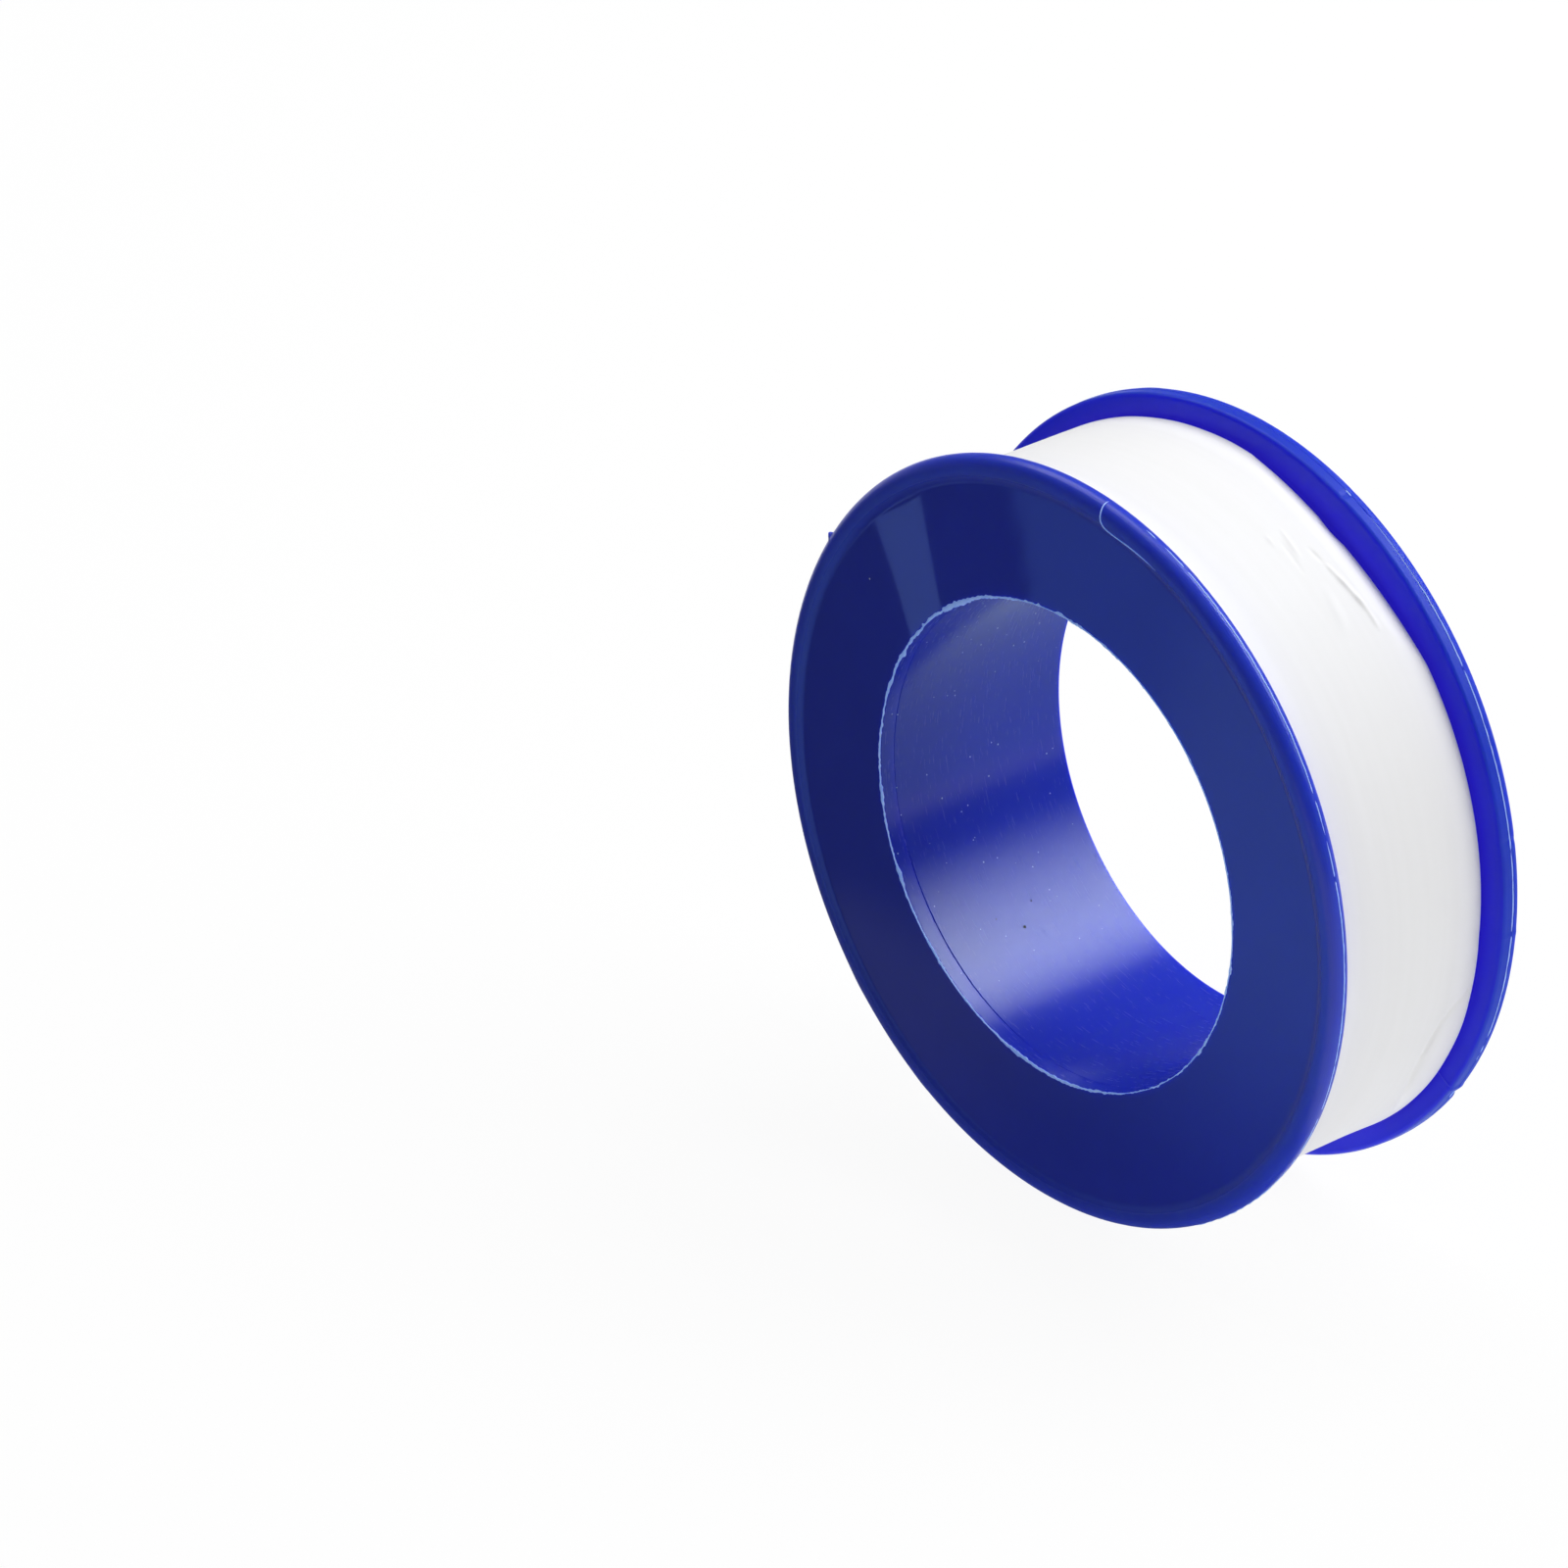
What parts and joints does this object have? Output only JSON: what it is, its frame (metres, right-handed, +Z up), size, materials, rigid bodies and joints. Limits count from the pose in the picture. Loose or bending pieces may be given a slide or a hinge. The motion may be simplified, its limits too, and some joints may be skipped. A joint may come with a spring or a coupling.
{
  "type": "thread seal tape roll",
  "caption": "Two-flange plastic spool wound with narrow white sealing film, with an open bore through the hub and a loose film end that lifts off.",
  "frame": {"origin": "centre of the bore, midway between the two flanges", "axes": "+Y along the spool's axis, from the plain flange to the marked flange; +Z up when the roll stands on its rims; +X to the right seen from the plain flange"},
  "size_m": [0.05, 0.0156, 0.05],
  "materials": {
    "spool_matte": "matte",
    "spool_gloss": "gloss",
    "film": "satin"
  },
  "bodies": {
    "roll": {"spool_body": "spool_matte", "plain_flange": "spool_gloss", "tape_winding": "film", "tape_outer_turn": "film"},
    "tape_end": {"tape_free_end": "film"}
  },
  "joints": [
    {"name": "tape_end_peel", "type": "hinge", "parent": "roll", "child": "tape_end", "pos_m": [-0.02034, 0, 0.01174], "axis": [0, 1, 0], "range_deg": [0, 90]}
  ]
}
